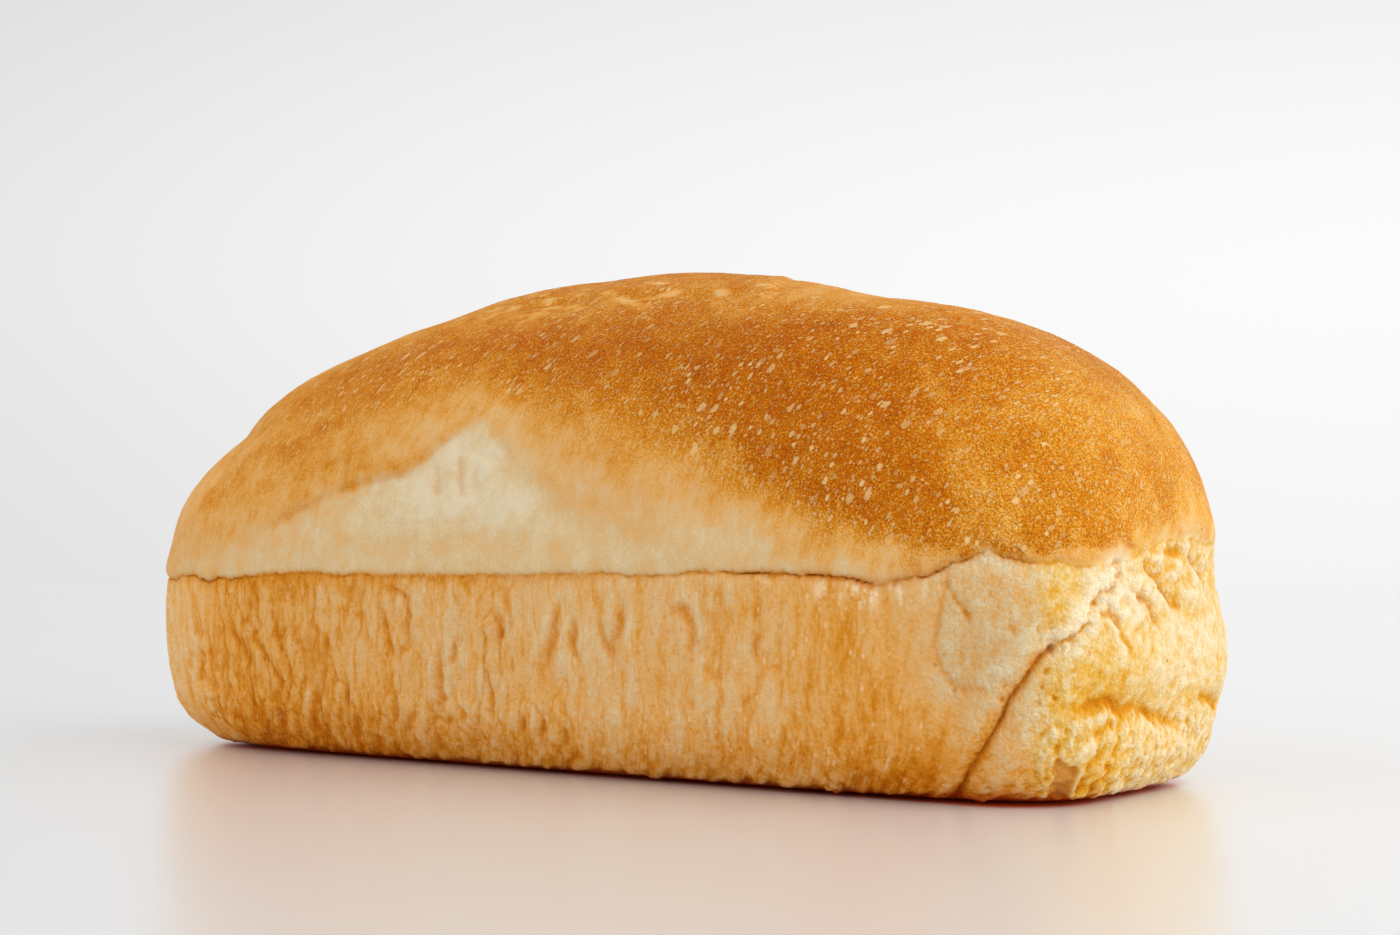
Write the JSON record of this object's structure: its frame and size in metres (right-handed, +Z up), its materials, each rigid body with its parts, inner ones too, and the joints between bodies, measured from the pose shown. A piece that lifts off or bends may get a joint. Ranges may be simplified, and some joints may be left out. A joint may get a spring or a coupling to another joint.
{
  "type": "white tin loaf",
  "caption": "Small uncut white bread loaf baked in an open tin: straight tapered sides, a domed golden crust that overhangs the rim line, and folded ends.",
  "frame": {"origin": "centre of the loaf's footprint, on the plane it stands on", "axes": "+X along the loaf towards the end with the open fold, -Y towards the front side, +Z up"},
  "size_m": [0.22, 0.093, 0.0944],
  "materials": {
    "crust": "satin, golden-brown crust over pale tin-baked sides"
  },
  "bodies": {
    "root": {"loaf": "crust"}
  },
  "joints": []
}
